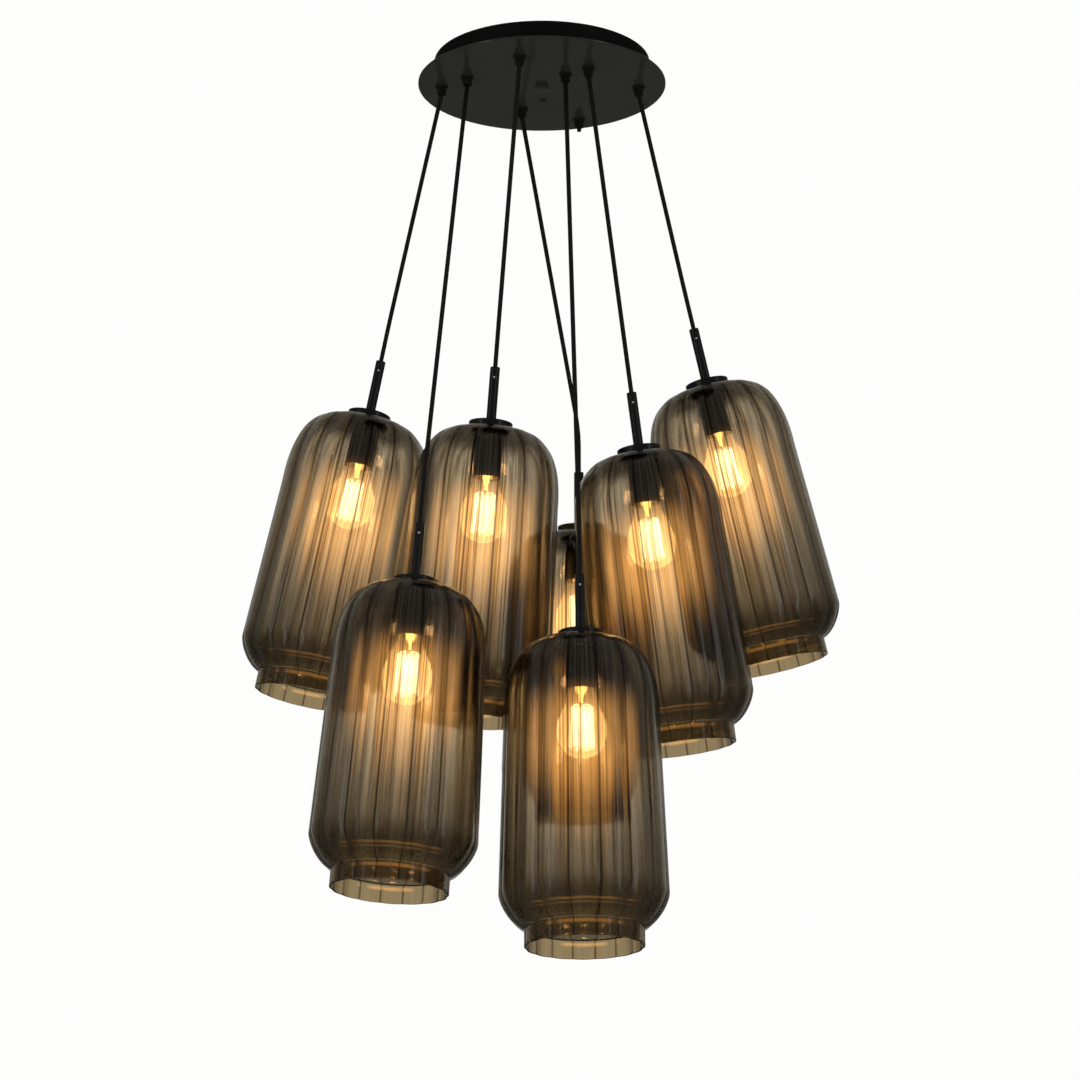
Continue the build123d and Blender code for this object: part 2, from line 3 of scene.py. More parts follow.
import bmesh
import bpy
import numpy as np
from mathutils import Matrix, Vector


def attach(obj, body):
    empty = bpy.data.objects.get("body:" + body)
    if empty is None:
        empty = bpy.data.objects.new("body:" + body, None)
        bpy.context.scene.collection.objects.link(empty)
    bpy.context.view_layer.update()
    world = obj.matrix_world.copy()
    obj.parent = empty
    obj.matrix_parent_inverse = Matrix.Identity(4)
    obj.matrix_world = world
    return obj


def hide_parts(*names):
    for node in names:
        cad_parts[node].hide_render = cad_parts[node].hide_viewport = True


bl_info = {
    "name": "Cluster pendant",
    "version": (1, 0, 0),
    "blender": (4, 5, 0),
    "location": "3D View > Sidebar > Pendant",
    "description": "Dresses a packed cluster pendant: canopy, cords, fluted glass, lit bulbs",
    "category": "Add Mesh",
}

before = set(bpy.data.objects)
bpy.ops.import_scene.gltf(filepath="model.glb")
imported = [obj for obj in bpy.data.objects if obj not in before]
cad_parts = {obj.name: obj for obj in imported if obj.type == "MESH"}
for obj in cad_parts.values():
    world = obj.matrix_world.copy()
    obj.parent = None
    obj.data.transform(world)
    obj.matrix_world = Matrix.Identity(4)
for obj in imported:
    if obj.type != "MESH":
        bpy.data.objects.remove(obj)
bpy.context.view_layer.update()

MM = 0.001

# ---- the pendants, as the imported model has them, in millimetres and degrees ----
# name: cord outlet on the plate, stem top under the plate, lean to the right, lean to the front
PENDANTS = {
    "left": ((-142, 5), (-226, 61, -390), -11.0, -0.8),
    "front_left": ((-105, -30), (-159, -221, -700), -4.0, 3.4),
    "middle_left": ((-31, -107), (-64, -55, -435), -4.2, -3.3),
    "front": ((33, -43), (49, -231, -772), 0.5, 4.1),
    "middle_right": ((65, -65), (121, -96, -484), 7.2, -2.8),
    "right": ((137, 7), (213, 49, -346), 12.7, -4.0),
    "rear": ((-29, 89), (52, 120, -535), 0.0, -3.2),
}
PLATE_UNDER = -34.0
SWIVEL_HEIGHT = -44.5

# ---- cords: the bend's height on the pendant's axis, how far the soft bend reaches along each
# straight run, and the inner end in the socket ----
CORD_BEND = 60.0
CORD_SOFT_ABOVE = 60.0
CORD_SOFT_BELOW = 50.0
CORD_INNER_END = -102.0

# ---- heights on a pendant, from its stem top down ----
SET_SCREW_HEIGHT = -15.0
STEM_FOOT = -78.0
CAP_CEILING = -79.5
TERMINAL_ROOM_TOP = -84.0
SPIGOT_FOOT = -88.0
SHADE_TOP = -90.0
RING_TOP = -93.0
RING_FOOT = -100.0
CONTACT_FACE = -108.0
BULB_BASE_TOP = -108.3
GROOVE_TOP = -112.0
GROOVE_FOOT = -115.0
BULB_BASE_FOOT = -132.3
BULB_NECK_FOOT = -150.3
SOCKET_MOUTH = -156.0
FILAMENT_TOP = -178.0
BULB_MIDDLE = -192.0
BULB_WIDEST = -206.0
BULB_ROUND_START = -213.0
FILAMENT_FOOT = -232.0

# ---- radii on a pendant ----
STEM_RADIUS = 6.75
STEM_BORE = 3.6
SPIGOT_RADIUS = 5.0
SET_SCREW_RADIUS = 1.5
CAP_RADIUS = 30.0
RING_RADIUS = 25.75
SOCKET_RADIUS = 19.75
SOCKET_BORE = 17.85
TERMINAL_ROOM_RADIUS = 14.0
BULB_NECK_RADIUS = 14.5
BULB_RADIUS = 32.0
BULB_BASE_RADIUS = 13.2
FILAMENT_TOP_RADIUS = 12.0
FILAMENT_FOOT_RADIUS = 15.0
FILAMENT_WIRE = 0.5

# ---- small sizes: walls, rounded and cut edges, play between pieces, depths ----
CAP_WALL = 1.2
CAP_ROUND = 1.2
CAP_PLAY = 0.15
STEM_ROUND = 0.55
EDGE_CUT = 0.3
SET_SCREW_ROUND = 0.4
SET_SCREW_LENGTH = 3.4
SET_SCREW_STANDS_OUT = 0.4
SOCKET_ROUND_OUTSIDE = 0.8
SOCKET_ROUND_INSIDE = (SOCKET_RADIUS - SOCKET_BORE) / 2
GROOVE_DEPTH = 0.3
GROOVE_SLOPE = 0.6
RING_CUT = (1.0, 1.2)
PLAY = 0.05

# ---- the bulb's screw base and glass mount: points of radius and height under their own tops ----
BASE_CONTACT = ((0, 0), (4.5, 0), (5.5, -1.5), (11.5, -3.2))
MOUNT = ((0, 0), (7.0, 0), (6.6, -17), (5.2, -23), (3.0, -27.5), (1.6, -34), (1.4, -38), (0, -38.6))
THREAD_START = 4.0
THREAD_LENGTH = 19.8
THREAD_DEPTH = 0.9
THREAD_TURNS = 6

# ---- the shade: radii, and depths under its flat top ----
SHADE_HOLE = 20.05
SHADE_FLAT = 26.0
SHADE_NECK = 32.0
SHADE_SHOULDER = 100.0
SHADE_WIDEST = 108.0
SHADE_COLLAR = 76.0
DOME_DEPTH = 106.0
BELLY_START = 332.0
COLLAR_START = 376.0
SHADE_HEIGHT = 400.0
DOME_POWER = 2.6
BELLY_POWER = 1.5
# how round each crease is, as an angle round the shade in radians
CREASE_SOFT = 0.010
# the rounded rim: how far in from each face and how far above the lowest edge
RIM_POINTS = ((0.1, 0.45), (0.7, 0.05))
# where the rows of the straight collar begin under the belly and end above the rim
COLLAR_MARGINS = (0.8, 1.0)
# rows of faces down the dome, taper, belly and collar, and columns of faces in each panel
SHADE_ROWS = (30, 24, 26, 6)
PANEL_COLUMNS = 18

# ---- the photo's camera: place in metres, upward tilt in degrees, focal length and sensor's
# width in mm ----
CAMERA_PLACE = (-0.0027, -4.6286, -1.9113)
CAMERA_TILT = 14.681
CAMERA_LENS = 116.67
CAMERA_SENSOR = 36.0

# ---- the bright screen behind the object: its middle's height as an angle in radians, and the
# cosines of the angles from its middle to its soft outer and inner edge ----
SCREEN_TILT = radians(15.0)
SCREEN_EDGE = (0.86, 1.0)
# ---- two upright strip lights on the camera's side, as sines of an angle: how far they stand to
# the side, half their width, where their ends fade, and where the camera's side fades out ----
STRIP_SIDE = 0.75
STRIP_WIDTH = 0.09
STRIP_ENDS = (0.3, 0.6)
FRONT_SIDE = (-0.3, 0.1)

# ---- the colour of the lamp in each bulb, half the floor's side in metres, and the bounces that
# light needs through the walls of shades one behind another ----
LAMP_COLOUR = (1.0, 0.62, 0.28)
FLOOR_HALF = 12.0
GLASS_BOUNCES = 24


def axis_frame(name):
    """A pendant's stem top and its three axes, the third up along the pendant, as arrays in mm."""
    (_, (x, y, z), lean_right, lean_front) = PENDANTS[name]
    up = np.array([-tan(radians(lean_right)), tan(radians(lean_front)), 1.0])
    up /= np.linalg.norm(up)
    across = np.cross((0.0, 1.0, 0.0), up)
    across /= np.linalg.norm(across)
    return np.array([x, y, PLATE_UNDER + z], float), np.array([across, np.cross(up, across), up])


def hang(points, name):
    """Local points in mm on a pendant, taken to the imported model's frame in metres."""
    top, axes = axis_frame(name)
    return (points @ axes + top) * MM


# ---------------------------------------------------------------- meshes from grids

def link_mesh(name, points, faces, corner_uv, materials, face_material=None):
    """A smooth shaded mesh object at the origin from vertex, face and corner arrays."""
    mesh = bpy.data.meshes.new(name)
    mesh.from_pydata(points.tolist(), [], faces)
    layer = mesh.uv_layers.new(name="UVMap")
    layer.data.foreach_set("uv", corner_uv.astype(np.float32).ravel())
    for material in materials:
        mesh.materials.append(material)
    if face_material is not None:
        mesh.polygons.foreach_set("material_index", face_material.astype(np.int32))
    mesh.shade_smooth()
    mesh.update()
    piece = bpy.data.objects.new(name, mesh)
    bpy.context.scene.collection.objects.link(piece)
    return piece


def clean_mesh(piece, sharp):
    """Merges doubles, drops flat faces, turns normals outwards and marks edges past an angle."""
    mesh = piece.data
    work = bmesh.new()
    work.from_mesh(mesh)
    bmesh.ops.remove_doubles(work, verts=work.verts, dist=1e-7)
    bmesh.ops.dissolve_degenerate(work, edges=work.edges, dist=1e-8)
    bmesh.ops.recalc_face_normals(work, faces=work.faces)
    work.to_mesh(mesh)
    work.free()
    mesh.shade_smooth()
    mesh.set_sharp_from_angle(angle=radians(sharp))
    mesh.update()


def grid_faces(rows, columns, close_rows):
    """Vertex numbers of the quads of a grid whose columns close on themselves, and whose rows do
    too if asked: each quad takes row i and the next row, column j and the next column."""
    i = np.arange(rows if close_rows else rows - 1)[:, None]
    j = np.arange(columns)[None, :]
    below = (i + 1) % rows
    beside = (j + 1) % columns
    corners = (i * columns + j, below * columns + j, below * columns + beside, i * columns + beside)
    return np.stack([np.broadcast_to(c, (i.size, j.size)) for c in corners], -1).reshape(-1, 4)


def grid_uv(rows, columns, row_value, close_rows):
    """Corner UVs of the same quads: U runs once round the columns, V is a value given per row."""
    i = np.arange(rows if close_rows else rows - 1)[:, None]
    j = np.arange(columns)[None, :]
    v = np.append(row_value, row_value[0]) if close_rows else row_value
    u_here, u_next = j / columns, (j + 1) / columns
    v_here, v_next = v[i], v[i + 1]
    corners = [(u_here, v_here), (u_here, v_next), (u_next, v_next), (u_next, v_here)]
    pairs = [np.stack(np.broadcast_arrays(u, w), -1) for u, w in corners]
    return np.stack(pairs, 2).reshape(-1, 2)


def turned(name, outline, material, place, columns=64, closed=True, sharp=35.0):
    """A surface of revolution: the outline's points (radius, height) turned round the local Z
    axis, x = r cos a, y = r sin a, z = h. A closed outline is a ring's section; an open one
    starts and ends on the axis, where its rows shrink to one point."""
    outline = np.array(outline, float)
    angle = 2 * pi * np.arange(columns) / columns
    r, z = outline[:, :1], outline[:, 1:]
    points = np.stack([r * np.cos(angle), r * np.sin(angle), z + 0 * angle], -1).reshape(-1, 3)
    rows = len(outline)
    run = np.r_[0, np.cumsum(np.linalg.norm(np.diff(outline, axis=0), axis=1))] * MM
    faces = grid_faces(rows, columns, closed)
    uv = grid_uv(rows, columns, run, closed)
    piece = link_mesh(name, place(points), faces.tolist(), uv, [material])
    clean_mesh(piece, sharp)
    return piece


def arc(centre, radius, start, sweep, steps=6):
    """Points (r, z) on an arc: the centre plus the radius at evenly spaced angles in degrees."""
    angle = np.radians(start + sweep * np.arange(steps + 1) / steps)
    return np.stack([centre[0] + radius * np.cos(angle), centre[1] + radius * np.sin(angle)], -1)


def tube(name, path, radius, material, place, sides=8):
    """A round tube with flat ends: a circle of the given radius carried along the path's points,
    square to it, with its frame taken from the path's direction and one fixed side direction."""
    path = np.array(path, float)
    ahead = np.gradient(path, axis=0)
    ahead /= np.linalg.norm(ahead, axis=1)[:, None]
    upright = np.abs(ahead[:, 2:]) > 0.9
    side = np.cross(ahead, np.where(upright, (1.0, 0.0, 0.0), (0.0, 0.0, 1.0)))
    side /= np.linalg.norm(side, axis=1)[:, None]
    over = np.cross(ahead, side)
    angle = 2 * pi * np.arange(sides) / sides
    ring = np.cos(angle)[:, None] * side[:, None] + np.sin(angle)[:, None] * over[:, None]
    points = (path[:, None] + radius * ring).reshape(-1, 3)
    last = (len(path) - 1) * sides
    ends = [list(range(sides))[::-1], list(range(last, last + sides))]
    faces = grid_faces(len(path), sides, False).tolist() + ends
    uv = grid_uv(len(path), sides, np.linspace(0, 1, len(path)), False)
    uv = np.vstack([uv, np.zeros((2 * sides, 2))])
    piece = link_mesh(name, place(points), faces, uv, [material])
    clean_mesh(piece, 60.0)
    return piece


# ---------------------------------------------------------------- shader maths

class Wire:
    """One output socket, with arithmetic that adds Math nodes."""

    def __init__(self, graph, socket):
        self.graph = graph
        self.socket = socket

    def math(self, operation, *values):
        """A Math node with this output as its first value."""
        return self.graph.math(operation, self, *values)

    def __add__(self, other):
        return self.math("ADD", other)

    def __sub__(self, other):
        return self.math("SUBTRACT", other)

    def __rsub__(self, other):
        return self.graph.math("SUBTRACT", other, self)

    def __mul__(self, other):
        return self.math("MULTIPLY", other)

    def __truediv__(self, other):
        return self.math("DIVIDE", other)

    def __pow__(self, other):
        return self.math("POWER", other)

    __radd__ = __add__
    __rmul__ = __mul__

    def between(self, low, high):
        """0 below low, 1 above high, and a smooth step between."""
        settings = {"interpolation_type": "SMOOTHSTEP"}
        return self.graph.node("ShaderNodeMapRange", settings, {0: self, 1: low, 2: high})


class Graph:
    """The node tree of a material or a world while it is made."""

    def __init__(self, owner):
        self.owner = owner
        owner.use_nodes = True
        self.tree = owner.node_tree
        self.tree.nodes.clear()

    def node(self, kind, settings=None, values=None, output=0):
        """Adds a node, sets its settings, fills its sockets with values or links, and gives one
        of its outputs."""
        node = self.tree.nodes.new(kind)
        for key, value in (settings or {}).items():
            setattr(node, key, value)
        for key, value in (values or {}).items():
            if isinstance(value, Wire):
                self.tree.links.new(value.socket, node.inputs[key])
            else:
                node.inputs[key].default_value = value
        return Wire(self, node.outputs[output]) if node.outputs else None

    def math(self, operation, *values):
        """A Math node on outputs or numbers."""
        return self.node("ShaderNodeMath", {"operation": operation}, dict(enumerate(values)))

    def mix(self, share, first, second):
        """A colour between two colours."""
        sockets = {0: share, 6: first, 7: second}
        return self.node("ShaderNodeMix", {"data_type": "RGBA"}, sockets, output=2)

    def place(self):
        """Object coordinates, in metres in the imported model's frame."""
        return self.node("ShaderNodeTexCoord", output="Object")

    def stretched(self, scale):
        """Object coordinates scaled on each axis, for a grain that runs one way."""
        return self.node("ShaderNodeMapping", None, {"Vector": self.place(), "Scale": scale})

    def uv(self):
        """The piece's own U, once round it, and V, in metres along its outline."""
        both = self.node("ShaderNodeTexCoord", output="UV")
        return [self.node("ShaderNodeSeparateXYZ", None, {0: both}, output=axis) for axis in (0, 1)]

    def vector(self, x, y, z):
        """Three values as one vector."""
        return self.node("ShaderNodeCombineXYZ", None, {0: x, 1: y, 2: z})

    def facing(self):
        """0 where the surface faces the eye, 1 at its outline."""
        return self.node("ShaderNodeLayerWeight", None, {"Blend": 0.5}, output="Facing")

    def noise(self, vector, scale, detail=3.0, roughness=0.5):
        """A smooth noise round 0.5."""
        values = {"Vector": vector, "Scale": scale, "Detail": detail, "Roughness": roughness}
        return self.node("ShaderNodeTexNoise", None, values)

    def band(self, value, middle, width):
        """1 in a soft narrow band of a value, 0 outside it."""
        return 1.0 - (value - middle).math("ABSOLUTE").between(0.0, width)

    def bump(self, height, strength, distance):
        """A normal that is tilted by a height in metres."""
        values = {"Height": height, "Strength": strength, "Distance": distance}
        return self.node("ShaderNodeBump", None, values)

    def principled(self, **values):
        """The main shader, with its sockets named with _ for a space."""
        named = {key.replace("_", " "): value for key, value in values.items()}
        return self.node("ShaderNodeBsdfPrincipled", None, named)

    def finish(self, shader, kind="ShaderNodeOutputMaterial"):
        """Links the shader to the output, and gives the material or world."""
        self.node(kind, None, {"Surface": shader})
        return self.owner


def material_graph(name):
    """The graph of a new material."""
    return Graph(bpy.data.materials.new(name))


def colour(*rgb):
    """A linear colour with its alpha of 1."""
    return (*rgb, 1.0)


# ---------------------------------------------------------------- finishes

def satin_black(name, base, roughness, grain, gloss_level):
    """Black powder coat or moulding: fine grain in colour, gloss and bump."""
    g = material_graph(name)
    fine = g.noise(g.place(), grain, 4.0)
    cloud = g.noise(g.place(), 9.0, 2.0)
    tone = g.mix(cloud, colour(*[c * 0.8 for c in base]), colour(*[c * 1.25 for c in base]))
    gloss = roughness + (cloud - 0.5) * 0.08 + (fine - 0.5) * 0.05
    normal = g.bump(fine, 0.12, 0.0002)
    return g.finish(g.principled(
        Base_Color=tone, Roughness=gloss, Specular_IOR_Level=gloss_level, Normal=normal,
    ))


def plated_steel():
    """Zinc plated steel: bright metal with clouded colour and fine drawn lines."""
    g = material_graph("zinc_plated_steel")
    lines = g.noise(g.stretched((40.0, 900.0, 900.0)), 1.0, 2.0)
    cloud = g.noise(g.place(), 60.0)
    tone = g.mix(cloud, colour(0.52, 0.53, 0.53), colour(0.72, 0.72, 0.70))
    gloss = 0.3 + (lines - 0.5) * 0.2
    normal = g.bump(lines, 0.1, 0.0002)
    return g.finish(g.principled(Base_Color=tone, Metallic=0.6, Roughness=gloss, Normal=normal))


def moulded_white():
    """White moulded plastic with a faint mottle."""
    g = material_graph("moulded_white_plastic")
    cloud = g.noise(g.place(), 300.0)
    tone = g.mix(cloud, colour(0.80, 0.80, 0.77), colour(0.88, 0.88, 0.86))
    normal = g.bump(cloud, 0.1, 0.0002)
    return g.finish(g.principled(Base_Color=tone, Roughness=0.4 + cloud * 0.1, Normal=normal))


def cord_sheath():
    """Black cable sheath: soft gloss with a faint mottle."""
    g = material_graph("black_cord_sheath")
    fine = g.noise(g.place(), 40.0)
    tone = g.mix(fine, colour(0.006, 0.006, 0.006), colour(0.009, 0.009, 0.009))
    return g.finish(g.principled(
        Base_Color=tone, Roughness=0.5 + fine * 0.06, Specular_IOR_Level=0.2,
    ))


def base_metal():
    """The bulb's metal screw base."""
    g = material_graph("bulb_base_metal")
    cloud = g.noise(g.place(), 400.0)
    tone = g.mix(cloud, colour(0.75, 0.58, 0.28), colour(0.85, 0.70, 0.40))
    return g.finish(g.principled(Base_Color=tone, Metallic=1.0, Roughness=0.25 + cloud * 0.1))


def smoke_glass(name, inside):
    """Pressed smoky glass. Fine streaks run down the flutes in relief, and in colour as painted
    reflections: dark streaks of painted shade and pale ones of painted highlight. Each crease is a
    dark line of painted shade in a valley of painted shade, stronger towards the top, with a
    painted golden highlight beside it. The glass has painted shade under the cap, is darker down
    its lower half with a band of painted shade on the belly, is golden on the collar, and darkens
    towards its outline, where one looks through more of it. The inner face also has the bulb's
    warm light painted on as a glow: round the bulb, down the middle of the shade, and as thin
    bright lines of painted highlight on the belly and the collar."""
    g = material_graph(name)
    u, v = g.uv()
    turn = u * (2 * pi)
    across, along = turn.math("COSINE"), turn.math("SINE")
    broad = g.noise(g.vector(across, along, v * 0.5), 3.0, 2.0)
    streak = g.noise(g.vector(across, along, v * 0.10), 24.0, 3.0, 0.65)
    fine = g.noise(g.vector(across, along, v * 0.05 + 3.0), 44.0, 2.0)
    ripple = g.noise(g.vector(across * 0.4, along * 0.4, v * 60.0), 1.0, 2.0)
    # off is 0 on a crease and 1 in the middle of a panel
    flutes = bpy.context.scene.pendant_shade.flutes
    off = ((u * flutes).math("FRACT") - 0.5).math("ABSOLUTE") * 2.0
    # painted shade on each crease and in the valley along it, and a painted golden highlight beside
    # the crease
    crease_line_shade = 1.0 - off.between(0.02, 0.12)
    crease_shade = 1.0 - off.between(0.0, 0.55)
    crease_highlight = off.between(0.08, 0.16) * (1.0 - off.between(0.18, 0.36))
    # depth is 0 at the shade's top and 1 at its rim
    depth = v / (SHADE_HEIGHT * MM)
    # masks down the shade: painted shade under the cap, crease shade growing towards the top,
    # painted shade on the belly, and the golden collar
    dome = 1.0 - depth.between(0.0, 0.05)
    shoulder = 1.0 - depth.between(0.04, 0.26)
    belly = depth.between(0.79, 0.88) * (1.0 - depth.between(0.92, 0.95))
    collar = depth.between(0.90, 0.95)
    edge = g.facing()
    pale, brown = colour(0.525, 0.476, 0.388), colour(0.485, 0.412, 0.308)
    tone = g.mix(broad.between(0.35, 0.65), brown, pale)
    layers = (
        # dark and pale streaks: painted reflections, dark ones of painted shade and pale ones of
        # painted highlight
        (streak.between(0.49, 0.57) * 0.80, (0.150, 0.122, 0.082)),
        (fine.between(0.51, 0.58) * 0.7, (0.760, 0.660, 0.500)),
        # painted shade in the valley along each crease, stronger towards the top, and a painted
        # golden highlight beside it
        (crease_shade * (0.4 + shoulder * 0.4), (0.180, 0.148, 0.105)),
        (crease_highlight * fine.between(0.35, 0.60) * 0.6, (0.680, 0.520, 0.310)),
        # darker down the lower half, painted shade on the belly, and the golden collar
        (depth.between(0.45, 0.85) * 0.68, (0.185, 0.158, 0.115)),
        (belly * 0.85, (0.090, 0.070, 0.040)),
        (collar * 0.7, (0.290, 0.195, 0.075)),
        # painted shade on the crease itself and under the cap, and darkening towards the outline
        (crease_line_shade * 0.88, (0.050, 0.040, 0.028)),
        (dome, (0.050, 0.043, 0.030)),
        (edge.between(0.18, 0.66) * 0.90, (0.060, 0.052, 0.032)),
    )
    for share, rgb in layers:
        tone = g.mix(share, tone, colour(*rgb))
    values = dict(
        Base_Color=tone, Roughness=0.07, IOR=1.4, Transmission_Weight=1.0,
        Normal=g.bump(streak + ripple * 0.4, 0.25, 0.0005),
    )
    if inside:
        # the bulb's warm light painted on the inner face as a glow: a halo round the bulb, a band
        # down the middle, and painted highlights as thin bright lines on the belly and the collar
        halo = depth.between(0.18, 0.34) * (1.0 - depth.between(0.38, 0.62))
        round_bulb = halo * (1.0 - edge.between(0.0, 0.22))
        below = depth.between(0.28, 0.42) * (1.0 - depth.between(0.50, 0.90))
        under_bulb = below * (1.0 - edge.between(0.0, 0.07))
        lines = g.band(depth, 0.893, 0.006) + g.band(depth, 0.904, 0.005) * 0.6
        glints = (lines + g.band(depth, 0.953, 0.010)) * (1.0 - edge.between(0.02, 0.16))
        warm = (round_bulb * 1.45 + under_bulb * 0.22 + glints * 0.7) * (0.5 + streak)
        values["Emission_Color"] = g.mix(warm, colour(0.0, 0.0, 0.0), colour(1.0, 0.48, 0.12))
        values["Emission_Strength"] = 0.5
    material = g.finish(g.principled(**values))
    material.cycles.emission_sampling = "NONE"
    return material


def bulb_glass():
    """Clear amber envelope of a lit bulb: see-through, with a warm haze round its middle and
    towards its outline."""
    g = material_graph("bulb_amber_glass")
    _, v = g.uv()
    haze = v.between(0.040, 0.085) * (1.0 - v.between(0.120, 0.155) * 0.7)
    mottle = g.noise(g.place(), 200.0)
    glow = g.mix(haze, colour(0.80, 0.45, 0.16), colour(1.00, 0.66, 0.27))
    material = g.finish(g.principled(
        Base_Color=g.mix(mottle, colour(0.020, 0.012, 0.005), colour(0.030, 0.018, 0.008)),
        Roughness=0.05 + mottle * 0.04, IOR=1.46,
        Alpha=0.05 + haze * 0.22 + (g.facing() ** 3.0) * 0.3,
        Emission_Color=glow, Emission_Strength=2.8,
    ))
    material.cycles.emission_sampling = "NONE"
    return material


def glowing(name, rgb, strength):
    """A surface that shines evenly, with a little mottle."""
    g = material_graph(name)
    mottle = g.noise(g.place(), 500.0)
    tone = g.mix(mottle, colour(*[c * 0.85 for c in rgb]), colour(*rgb))
    material = g.finish(g.principled(
        Base_Color=tone, Emission_Color=tone, Emission_Strength=strength,
    ))
    material.cycles.emission_sampling = "NONE"
    return material


def light_core():
    """The bright air among the filament's runs: see-through light, strongest in the middle."""
    g = material_graph("filament_light")
    middle = 1.0 - g.facing()
    mottle = g.noise(g.place(), 300.0)
    glow = g.mix(middle.between(0.1, 0.7), colour(1.0, 0.72, 0.32), colour(1.0, 0.98, 0.72))
    material = g.finish(g.principled(
        Base_Color=colour(0.0, 0.0, 0.0), Specular_IOR_Level=0.0,
        Alpha=middle.between(0.05, 0.8) * (0.34 + mottle * 0.2),
        Emission_Color=glow, Emission_Strength=2.8,
    ))
    material.cycles.emission_sampling = "NONE"
    return material


# the function that makes each finish
MAKERS = {
    "plate": lambda: satin_black("satin_black_plate", (0.021, 0.021, 0.019), 0.16, 900.0, 0.42),
    "dish": lambda: satin_black("satin_black_dish", (0.004, 0.004, 0.004), 0.40, 900.0, 0.05),
    "metal": lambda: satin_black("satin_black_metal", (0.006, 0.006, 0.006), 0.24, 1200.0, 0.5),
    "plastic": lambda: satin_black("black_moulding", (0.008, 0.008, 0.007), 0.45, 1500.0, 0.25),
    "steel": plated_steel,
    "white": moulded_white,
    "sheath": cord_sheath,
    "base": base_metal,
    "glass_out": lambda: smoke_glass("smoke_glass_outside", False),
    "glass_in": lambda: smoke_glass("smoke_glass_inside", True),
    "bulb": bulb_glass,
    "filament": lambda: glowing("glowing_filament", (1.0, 1.0, 0.80), 4.0),
    "core": light_core,
    "mount": lambda: glowing("warm_glass_mount", (1.0, 0.78, 0.30), 1.6),
}
FINISHES = {}


def finish_of(key):
    """One of the finishes, which is made when it is first asked for."""
    if key not in FINISHES:
        FINISHES[key] = MAKERS[key]()
    return FINISHES[key]


def dress(node, key):
    """Gives a CAD node its finish."""
    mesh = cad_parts[node].data
    mesh.materials.clear()
    mesh.materials.append(finish_of(key))


def placer(name):
    """The function that hangs points on one pendant."""
    def place(points):
        return hang(points, name)
    return place


def hang_piece(piece, name, body, node, slot):
    """Lets a piece ride a pendant's body in the place of one CAD node."""
    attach(piece, f"{name}_{body}")
    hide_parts(f"{name}_{node}")


# ---------------------------------------------------------------- settings

class CordSettings(bpy.types.PropertyGroup):
    """Size of the hanging cords."""

    radius: bpy.props.FloatProperty(
        name="Radius", description="Radius of a cord in mm", default=3.1, min=1.0,
    )


class ShadeSettings(bpy.types.PropertyGroup):
    """Sizes of the fluted glass shades."""

    flutes: bpy.props.IntProperty(
        name="Flutes", description="Panels round a shade", default=16, min=6,
    )
    flute_depth: bpy.props.FloatProperty(
        name="Flute depth", description="Depth of the creases where the shade is widest, in mm",
        default=3.5, min=0.0,
    )
    glass: bpy.props.FloatProperty(
        name="Glass", description="Thickness of the wall in mm", default=3.0, min=1.0,
    )


class BulbSettings(bpy.types.PropertyGroup):
    """The lit bulbs."""

    power: bpy.props.FloatProperty(
        name="Power", description="Power of the lamp in each bulb", default=1.6, min=0.0,
        subtype="POWER",
    )
    runs: bpy.props.IntProperty(
        name="Runs", description="Upright runs of the filament", default=10, min=4,
    )


class StageSettings(bpy.types.PropertyGroup):
    """Floor, surroundings and camera."""

    white: bpy.props.FloatProperty(
        name="White", description="Strength of the white that is seen behind the object",
        default=1.0, min=0.0,
    )
    mirrored: bpy.props.FloatProperty(
        name="Mirrored", description="Share of that white that glossy surfaces mirror",
        default=0.08, min=0.0, max=1.0, subtype="FACTOR",
    )
    screen: bpy.props.FloatProperty(
        name="Screen", description="Share that the screen behind the object adds to it",
        default=0.45, min=0.0, max=1.0, subtype="FACTOR",
    )
    strips: bpy.props.FloatProperty(
        name="Strips", description="Share that the two strip lights before the object add to it",
        default=1.3, min=0.0,
    )
    soft: bpy.props.FloatProperty(
        name="Soft", description="Share of that white that lights plain surfaces",
        default=1.0, min=0.0, max=1.0, subtype="FACTOR",
    )
    floor_height: bpy.props.FloatProperty(
        name="Floor", description="Height of the floor", default=-2.6, unit="LENGTH",
    )


# ---------------------------------------------------------------- pieces

class PENDANT_OT_canopy(bpy.types.Operator):
    """Finish the canopy and the fittings in it"""

    bl_idname = "pendant.canopy"
    bl_label = "Canopy"

    def execute(self, context):
        worn = {
            "plate": ("canopy_plate", "centre_cap_nut", "earth_screw"),
            "dish": ("canopy_dish",),
            "steel": ("dish_nuts", "ceiling_crossbar", "centre_stud", "grip_nuts"),
            "white": ("terminal_block",),
            "sheath": ("cord_tails",),
            "plastic": ("cord_grips",),
        }
        for key, nodes in worn.items():
            for node in nodes:
                dress(node, key)
        return {"FINISHED"}


def step_towards(start, end, distance):
    """The point at a distance from one point towards another."""
    return start + (end - start) / np.linalg.norm(end - start) * distance


